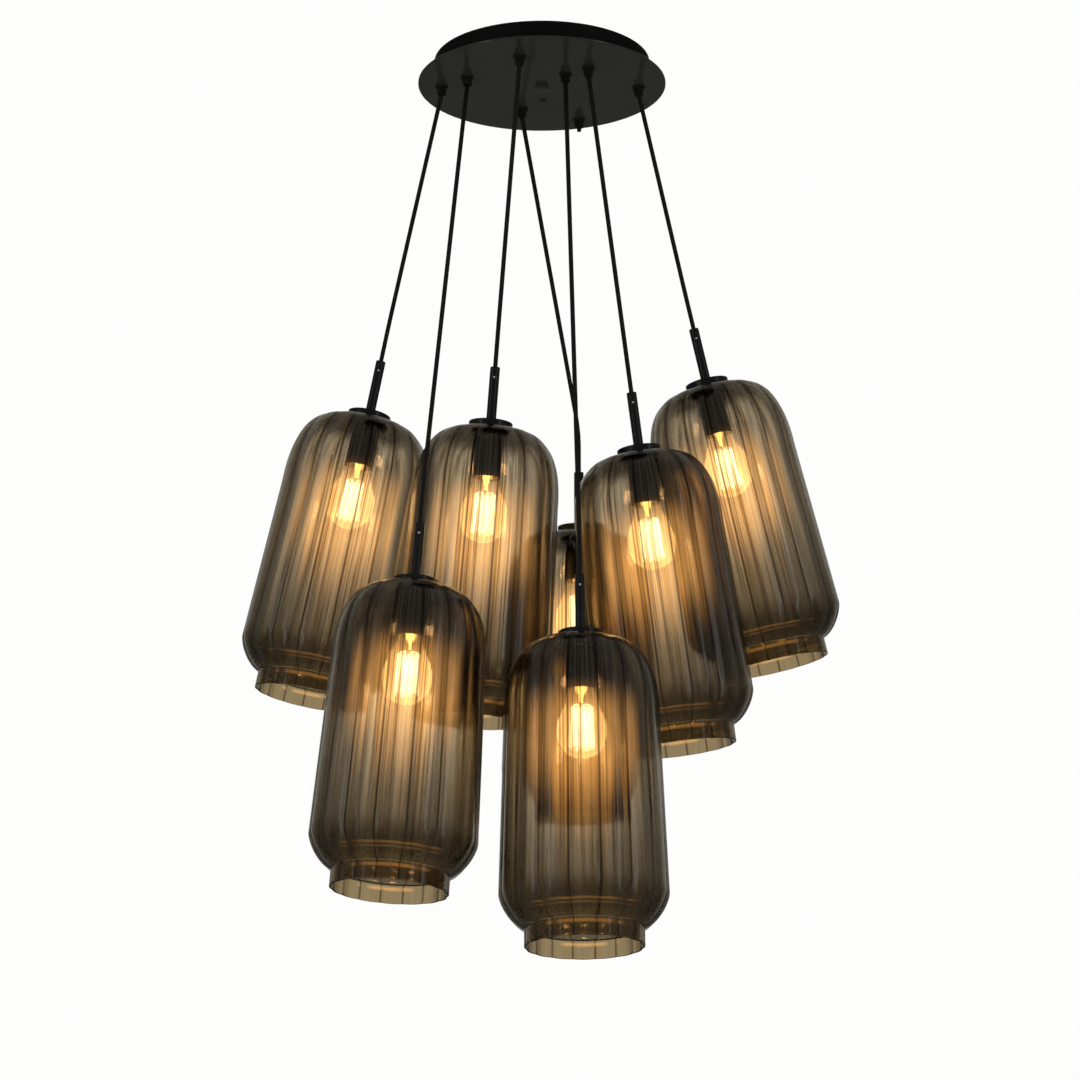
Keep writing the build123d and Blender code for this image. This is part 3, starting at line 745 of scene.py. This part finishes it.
class PENDANT_OT_cords(bpy.types.Operator):
    """Make the seven straight cords, each with its soft bend above the stem"""

    bl_idname = "pendant.cords"
    bl_label = "Cords"

    def execute(self, context):
        radius = context.scene.pendant_cord.radius * MM
        for name, (outlet, _, _, _) in PENDANTS.items():
            swivel = np.array([*outlet, SWIVEL_HEIGHT]) * MM
            bend, end = hang(np.array([(0, 0, CORD_BEND), (0, 0, CORD_INNER_END)]), name)
            above = step_towards(bend, swivel, CORD_SOFT_ABOVE * MM)
            below = step_towards(bend, end, CORD_SOFT_BELOW * MM)
            route = np.array([swivel, above, bend, below, end])
            curve = bpy.data.curves.new(f"{name}_hanging_cord", "CURVE")
            curve.dimensions = "3D"
            curve.bevel_depth = radius
            curve.bevel_resolution = 4
            curve.use_fill_caps = True
            curve.resolution_u = 16
            spline = curve.splines.new("NURBS")
            spline.points.add(len(route) - 1)
            spline.points.foreach_set("co", np.c_[route, np.ones(len(route))].ravel())
            spline.order_u = 3
            spline.use_endpoint_u = True
            curve.materials.append(finish_of("sheath"))
            cord = bpy.data.objects.new(f"{name}_hanging_cord", curve)
            context.scene.collection.objects.link(cord)
            hang_piece(cord, name, "pendant", "cord", "cord_black")
            length = np.linalg.norm(swivel - bend) + np.linalg.norm(end - bend)
        return {"FINISHED"}


def stem_outline():
    """Section of a stem: a sleeve with a rounded top, and under it the spigot in the cap."""
    rounded = STEM_RADIUS - STEM_ROUND
    return np.vstack([
        [(STEM_BORE, 0), (rounded, 0)],
        arc((rounded, -STEM_ROUND), STEM_ROUND, 90, -90, 4),
        [(STEM_RADIUS, STEM_FOOT + EDGE_CUT), (STEM_RADIUS - EDGE_CUT, STEM_FOOT)],
        [(SPIGOT_RADIUS, STEM_FOOT), (SPIGOT_RADIUS, SPIGOT_FOOT), (STEM_BORE, SPIGOT_FOOT)],
    ])


def set_screw_outline():
    """Half section of a set screw, from the middle of its rounded head to its foot."""
    rounded = SET_SCREW_RADIUS - SET_SCREW_ROUND
    return np.vstack([
        [(0, 0), (rounded, 0)],
        arc((rounded, -SET_SCREW_ROUND), SET_SCREW_ROUND, 90, -90, 4),
        [(SET_SCREW_RADIUS, -SET_SCREW_LENGTH), (0, -SET_SCREW_LENGTH)],
    ])


def cap_outline():
    """Section of a cap: a cup with a rounded shoulder and cut edges, open downwards."""
    hole = SPIGOT_RADIUS + CAP_PLAY
    inner = CAP_RADIUS - CAP_WALL
    cut = SHADE_TOP + EDGE_CUT
    return np.vstack([
        [(hole, STEM_FOOT)],
        arc((CAP_RADIUS - CAP_ROUND, STEM_FOOT - CAP_ROUND), CAP_ROUND, 90, -90),
        [(CAP_RADIUS, cut), (CAP_RADIUS - EDGE_CUT, SHADE_TOP), (inner + EDGE_CUT, SHADE_TOP)],
        [(inner, cut), (inner, CAP_CEILING), (hole, CAP_CEILING)],
    ])


def socket_outline():
    """Section of a socket: its room for the terminals, the bulb's bore, a rounded mouth and one
    groove round the outside."""
    groove = SOCKET_RADIUS - GROOVE_DEPTH
    hole = SPIGOT_RADIUS + PLAY
    thread = BULB_BASE_RADIUS + PLAY
    outside, inside = SOCKET_ROUND_OUTSIDE, SOCKET_ROUND_INSIDE
    return np.vstack([
        [(hole, CAP_CEILING), (SOCKET_RADIUS, CAP_CEILING)],
        [(SOCKET_RADIUS, GROOVE_TOP), (groove, GROOVE_TOP - GROOVE_SLOPE)],
        [(groove, GROOVE_FOOT + GROOVE_SLOPE), (SOCKET_RADIUS, GROOVE_FOOT)],
        # one more row on the straight wall keeps its shading flat down to the rounded mouth
        [(SOCKET_RADIUS, SOCKET_MOUTH + 1.5 * outside)],
        arc((SOCKET_RADIUS - outside, SOCKET_MOUTH + outside), outside, 0, -90, 4),
        arc((SOCKET_BORE + inside, SOCKET_MOUTH + inside), inside, 270, -90, 4),
        [(SOCKET_BORE, BULB_BASE_FOOT), (thread, BULB_BASE_FOOT)],
        [(thread, CONTACT_FACE), (TERMINAL_ROOM_RADIUS, CONTACT_FACE)],
        [(TERMINAL_ROOM_RADIUS, TERMINAL_ROOM_TOP), (hole, TERMINAL_ROOM_TOP)],
    ])


def ring_outline():
    """Section of the shade ring that is screwed on the socket under the glass."""
    hole = SOCKET_RADIUS + PLAY
    cut_in, cut_up = RING_CUT
    return [
        (hole, RING_TOP), (RING_RADIUS, RING_TOP), (RING_RADIUS, RING_FOOT + cut_up),
        (RING_RADIUS - cut_in, RING_FOOT), (hole, RING_FOOT),
    ]


class PENDANT_OT_fittings(bpy.types.Operator):
    """Make the stems, set screws, caps, sockets and shade rings"""

    bl_idname = "pendant.fittings"
    bl_label = "Stems, caps, sockets and rings"

    def execute(self, context):
        fittings = (
            ("sleeve", stem_outline(), "metal", "stem", "black_metal", 48),
            ("cup", cap_outline(), "metal", "cap", "black_metal", 72),
            ("lampholder", socket_outline(), "plastic", "socket", "black_plastic", 64),
            ("clamp_ring", ring_outline(), "plastic", "shade_ring", "black_plastic", 64),
        )
        screw = set_screw_outline()
        for name in PENDANTS:
            place = placer(name)
            for label, outline, finish, node, slot, columns in fittings:
                piece = turned(f"{name}_{label}", outline, finish_of(finish), place, columns)
                hang_piece(piece, name, "pendant", node, slot)

            def place_screw(points, place=place):
                outwards = points[:, 2] + STEM_RADIUS + SET_SCREW_STANDS_OUT
                height = points[:, 1] + SET_SCREW_HEIGHT
                return place(np.stack([points[:, 0], -outwards, height], -1))

            head = turned(f"{name}_set_screw", screw, finish_of("steel"), place_screw, 20, False)
            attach(head, f"{name}_pendant")
        return {"FINISHED"}


def flute_radius(widest, crease_depth, flutes, columns):
    """Radius round one shade at given heights. Each panel is an arc through two creases and the
    panel's middle: with k the crease radius, b half a panel's angle and R the middle's radius,
    the arc's centre stands at c = (R^2 - k^2) / (2 (R - k cos b)) from the axis, and the radius
    at angle t from the middle is c cos t + sqrt((R - c)^2 - c^2 sin^2 t). Close to a crease the
    angle is rounded off by a small hypotenuse."""
    half = pi / flutes
    crease = widest - crease_depth
    centre = (widest**2 - crease**2) / (2 * (widest - crease * cos(half)))
    angle = 2 * pi * np.arange(columns) / columns
    from_middle = np.abs((angle + half) % (2 * half) - half)
    from_middle = np.abs(half - np.hypot(half - from_middle, CREASE_SOFT))[None, :]
    c, r = centre[:, None], widest[:, None]
    return c * np.cos(from_middle) + np.sqrt((r - c) ** 2 - (c * np.sin(from_middle)) ** 2)


def shade_profile(inset):
    """Radius and depth down a shade: a flattened quarter ellipse for the dome, a straight taper,
    another flattened ellipse for the belly, and a straight collar. The inset is the wall's
    thickness for the inner face."""
    dome_rows, taper_rows, belly_rows, collar_rows = SHADE_ROWS
    a = np.radians(np.linspace(0, 90, dome_rows))
    bow = 2 / DOME_POWER
    dome = np.stack([
        SHADE_NECK + (SHADE_SHOULDER - inset - SHADE_NECK) * np.sin(a) ** bow,
        inset + (DOME_DEPTH - inset) * (1 - np.maximum(np.cos(a), 0.0) ** bow),
    ], -1)
    t = np.linspace(0, 1, taper_rows)[1:-1]
    taper = np.stack([
        SHADE_SHOULDER - inset + (SHADE_WIDEST - SHADE_SHOULDER) * t,
        DOME_DEPTH + (BELLY_START - DOME_DEPTH) * t,
    ], -1)
    b = np.radians(np.linspace(0, 90, belly_rows))
    bow = 2 / BELLY_POWER
    belly = np.stack([
        SHADE_COLLAR - inset + (SHADE_WIDEST - SHADE_COLLAR) * np.maximum(np.cos(b), 0.0) ** bow,
        BELLY_START + (COLLAR_START - BELLY_START) * np.sin(b) ** bow,
    ], -1)
    under_belly, above_rim = COLLAR_MARGINS
    down = np.linspace(COLLAR_START + under_belly, SHADE_HEIGHT - above_rim, collar_rows)
    collar = np.stack([np.full(len(down), SHADE_COLLAR - inset), down], -1)
    return np.vstack([dome, taper, belly, collar])


class PENDANT_OT_shades(bpy.types.Operator):
    """Make the seven fluted glass shades"""

    bl_idname = "pendant.shades"
    bl_label = "Shades"

    def execute(self, context):
        chosen = context.scene.pendant_shade
        columns = chosen.flutes * PANEL_COLUMNS
        outer, inner = shade_profile(0.0), shade_profile(chosen.glass)
        outside, inside = SHADE_COLLAR, SHADE_COLLAR - chosen.glass
        rim = np.array(
            [(outside - within, SHADE_HEIGHT - above) for within, above in RIM_POINTS]
            + [((outside + inside) / 2, SHADE_HEIGHT)]
            + [(inside + within, SHADE_HEIGHT - above) for within, above in RIM_POINTS[::-1]]
        )
        flat_top = [(SHADE_HOLE, 0.0), (SHADE_FLAT, 0.0)]
        flat_under = [(SHADE_FLAT, chosen.glass), (SHADE_HOLE, chosen.glass)]
        outline = np.vstack([flat_top, outer, rim, inner[::-1], flat_under])
        rows = len(outline)
        widest, down = outline[:, 0], outline[:, 1:]
        crease_depth = chosen.flute_depth * (widest / SHADE_WIDEST) ** 2
        crease_depth[[0, 1, -2, -1]] = 1e-6  # the flat top and its underside stay round
        radius = flute_radius(widest, crease_depth, chosen.flutes, columns)
        angle = 2 * pi * np.arange(columns) / columns
        height = SHADE_TOP - down + 0 * radius
        points = np.stack([radius * np.cos(angle), radius * np.sin(angle), height], -1)
        points = points.reshape(-1, 3)
        faces = grid_faces(rows, columns, True).tolist()
        uv = grid_uv(rows, columns, outline[:, 1] * MM, True)
        # the inner face begins at the middle of the rim
        first_inner = len(flat_top) + len(outer) + len(rim) // 2
        face_material = np.repeat((np.arange(rows) >= first_inner).astype(int), columns)
        glass = [finish_of("glass_out"), finish_of("glass_in")]
        for name in PENDANTS:
            piece = link_mesh(f"{name}_glass", hang(points, name), faces, uv, glass, face_material)
            clean_mesh(piece, 50.0)
            hang_piece(piece, name, "pendant", "shade", "smoke_glass")
        return {"FINISHED"}


def bulb_outline():
    """Half section of a bulb's glass: a neck that starts just inside the base, a swell along
    3 t^2 - 2 t^3, and a round tip."""
    t = np.linspace(0, 1, 20)[1:]
    swell = np.stack([
        BULB_NECK_RADIUS + (BULB_RADIUS - BULB_NECK_RADIUS) * (3 * t**2 - 2 * t**3),
        BULB_NECK_FOOT + (BULB_WIDEST - BULB_NECK_FOOT) * t,
    ], -1)
    tip = arc((0, BULB_ROUND_START), BULB_RADIUS, 0, -90, 18)
    tip[-1, 0] = 0.0
    top = BULB_BASE_FOOT + 0.5
    neck = [(0, top), (BULB_NECK_RADIUS - 0.1, top), (BULB_NECK_RADIUS, BULB_NECK_FOOT)]
    return np.vstack([neck, swell, tip])


def base_outline():
    """Half section of a screw base: its contact, then a thread whose radius is a cosine of the
    way down."""
    down = np.linspace(0, 1, 8 * THREAD_TURNS + 1)
    thread = np.stack([
        BULB_BASE_RADIUS - THREAD_DEPTH / 2 * (1 + np.cos(2 * pi * THREAD_TURNS * down)),
        BULB_BASE_TOP - THREAD_START - THREAD_LENGTH * down,
    ], -1)
    contact = np.array(BASE_CONTACT) + (0, BULB_BASE_TOP)
    return np.vstack([contact, thread, [(BULB_BASE_RADIUS, BULB_BASE_FOOT), (0, BULB_BASE_FOOT)]])


def mount_outline():
    """Half section of the glass mount that holds the filament."""
    return np.array(MOUNT) + (0, BULB_BASE_FOOT - 1.0)


def core_outline():
    """Half section of the bright air inside the filament's cage, narrower and cut at its ends."""
    top, foot = FILAMENT_TOP, FILAMENT_FOOT
    return np.array([
        (0, top), (FILAMENT_TOP_RADIUS * 0.8, top - 2.0), (FILAMENT_TOP_RADIUS, top - 6.0),
        (FILAMENT_FOOT_RADIUS, foot + 6.0), (FILAMENT_FOOT_RADIUS * 0.8, foot + 1.0), (0, foot),
    ])


def filament_path(runs):
    """Corners of a filament that goes down and up round its cage, two to each run."""
    order = np.arange(2 * runs + 1)
    angle = 2 * pi * (order // 2) / runs
    high = ((order + 1) // 2) % 2 == 1
    radius = np.where(high, FILAMENT_TOP_RADIUS, FILAMENT_FOOT_RADIUS)
    height = np.where(high, FILAMENT_TOP, FILAMENT_FOOT)
    return np.stack([radius * np.cos(angle), radius * np.sin(angle), height], -1)


class PENDANT_OT_bulbs(bpy.types.Operator):
    """Make the seven lit bulbs: glass, screw base, mount, filament and lamp"""

    bl_idname = "pendant.bulbs"
    bl_label = "Bulbs"

    def execute(self, context):
        chosen = context.scene.pendant_bulb
        glass = bulb_outline()
        base, mount, core = base_outline(), mount_outline(), core_outline()
        zigzag = filament_path(chosen.runs)
        for name in PENDANTS:
            place = placer(name)
            body = f"{name}_bulb_body"
            envelope = turned(
                f"{name}_bulb_glass", glass, finish_of("bulb"), place, 64, False, sharp=50.0,
            )
            hang_piece(envelope, name, "bulb_body", "bulb", "bulb_glass")
            inner_parts = (
                turned(f"{name}_bulb_base", base, finish_of("base"), place, 48, False),
                turned(f"{name}_bulb_mount", mount, finish_of("mount"), place, 32, False),
                turned(f"{name}_filament_light", core, finish_of("core"), place, 32, False, 180.0),
                tube(f"{name}_filament", zigzag, FILAMENT_WIRE, finish_of("filament"), place, 6),
            )
            for part in inner_parts:
                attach(part, body)
            lamp = bpy.data.lights.new(f"{name}_lamp", "POINT")
            lamp.energy = chosen.power
            lamp.color = LAMP_COLOUR
            lamp.shadow_soft_size = BULB_RADIUS / 2 * MM
            light = bpy.data.objects.new(f"{name}_lamp", lamp)
            context.scene.collection.objects.link(light)
            light.location = Vector(hang(np.array([(0.0, 0.0, BULB_MIDDLE)]), name)[0])
            light.visible_camera = False
            light.visible_transmission = False
            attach(light, body)
        return {"FINISHED"}


# ---------------------------------------------------------------- stage

def white_studio(chosen):
    """White surroundings at full strength for the eye and through glass. Plain surfaces are lit
    evenly, and glossy ones mirror a dim room with a bright screen behind the object and two
    upright strip lights before it."""
    g = Graph(bpy.data.worlds.new("white_studio"))
    rays = {
        kind: g.node("ShaderNodeLightPath", output=f"Is {kind} Ray")
        for kind in ("Camera", "Transmission", "Diffuse")
    }
    way = g.node("ShaderNodeTexCoord", output="Generated")
    right, back, up = [
        g.node("ShaderNodeSeparateXYZ", None, {0: way}, output=axis) for axis in range(3)
    ]
    screen = (back * cos(SCREEN_TILT) + up * sin(SCREEN_TILT)).between(*SCREEN_EDGE)
    strips = g.band(right.math("ABSOLUTE"), STRIP_SIDE, STRIP_WIDTH)
    in_front = 1.0 - back.between(*FRONT_SIDE)
    strips = strips * in_front * (1.0 - up.math("ABSOLUTE").between(*STRIP_ENDS))
    mirrored = chosen.mirrored + screen * chosen.screen + strips * chosen.strips
    seen = rays["Camera"].math("MAXIMUM", rays["Transmission"])
    unseen = mirrored * (1.0 - rays["Diffuse"]) + rays["Diffuse"] * chosen.soft
    level = unseen * (1.0 - seen) + seen
    values = {"Color": colour(0.985, 0.985, 0.98), "Strength": level * chosen.white}
    return g.finish(g.node("ShaderNodeBackground", None, values), "ShaderNodeOutputWorld")


def pale_floor():
    """A plain pale floor that is seen from above only."""
    g = material_graph("pale_floor")
    cloud = g.noise(g.place(), 0.8)
    tone = g.mix(cloud, colour(0.91, 0.91, 0.905), colour(0.95, 0.95, 0.945))
    plain = g.principled(Base_Color=tone, Roughness=0.8 + cloud * 0.1)
    clear = g.node("ShaderNodeBsdfTransparent")
    under = g.node("ShaderNodeNewGeometry", output="Backfacing")
    return g.finish(g.node("ShaderNodeMixShader", None, {0: under, 1: plain, 2: clear}))


class PENDANT_OT_stage(bpy.types.Operator):
    """Make the floor, the white surroundings and the camera"""

    bl_idname = "pendant.stage"
    bl_label = "Stage and camera"

    def execute(self, context):
        chosen = context.scene.pendant_stage
        scene = context.scene
        scene.view_settings.view_transform = "Standard"
        scene.cycles.max_bounces = GLASS_BOUNCES
        scene.cycles.transmission_bounces = GLASS_BOUNCES
        scene.cycles.transparent_max_bounces = GLASS_BOUNCES
        scene.world = white_studio(chosen)
        corners = np.array([(-1, -1), (1, -1), (1, 1), (-1, 1)], float)
        points = np.c_[corners * FLOOR_HALF, np.full(4, chosen.floor_height)]
        floor = link_mesh("floor", points, [[0, 1, 2, 3]], corners, [pale_floor()])
        floor.visible_glossy = False
        lens = bpy.data.cameras.new("photo_camera")
        lens.sensor_width = CAMERA_SENSOR
        lens.lens = CAMERA_LENS
        lens.clip_start, lens.clip_end = 0.05, 100.0
        camera = bpy.data.objects.new("photo_camera", lens)
        scene.collection.objects.link(camera)
        camera.location = CAMERA_PLACE
        camera.rotation_euler = (radians(90 + CAMERA_TILT), 0.0, 0.0)
        scene.camera = camera
        return {"FINISHED"}


class PENDANT_PT_panel(bpy.types.Panel):
    """The pendant's operators and their settings"""

    bl_label = "Cluster pendant"
    bl_idname = "PENDANT_PT_panel"
    bl_space_type = "VIEW_3D"
    bl_region_type = "UI"
    bl_category = "Pendant"

    def draw(self, context):
        for group, kind in GROUPS.items():
            box = self.layout.box()
            for key in kind.__annotations__:
                box.prop(getattr(context.scene, group), key)
        for operator in OPERATORS:
            self.layout.operator(operator.bl_idname)


GROUPS = {
    "pendant_cord": CordSettings,
    "pendant_shade": ShadeSettings,
    "pendant_bulb": BulbSettings,
    "pendant_stage": StageSettings,
}
OPERATORS = (
    PENDANT_OT_stage,
    PENDANT_OT_cords,
    PENDANT_OT_canopy,
    PENDANT_OT_fittings,
    PENDANT_OT_shades,
    PENDANT_OT_bulbs,
)


def register():
    for kind in (*GROUPS.values(), *OPERATORS, PENDANT_PT_panel):
        bpy.utils.register_class(kind)
    for name, group in GROUPS.items():
        setattr(bpy.types.Scene, name, bpy.props.PointerProperty(type=group))


def unregister():
    for name in GROUPS:
        delattr(bpy.types.Scene, name)
    for kind in (PENDANT_PT_panel, *reversed(OPERATORS), *GROUPS.values()):
        bpy.utils.unregister_class(kind)


def main():
    """Registers the add-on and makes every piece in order."""
    register()
    for operator in OPERATORS:
        family, action = operator.bl_idname.split(".")
        getattr(getattr(bpy.ops, family), action)()


if __name__ == "__main__":
    main()
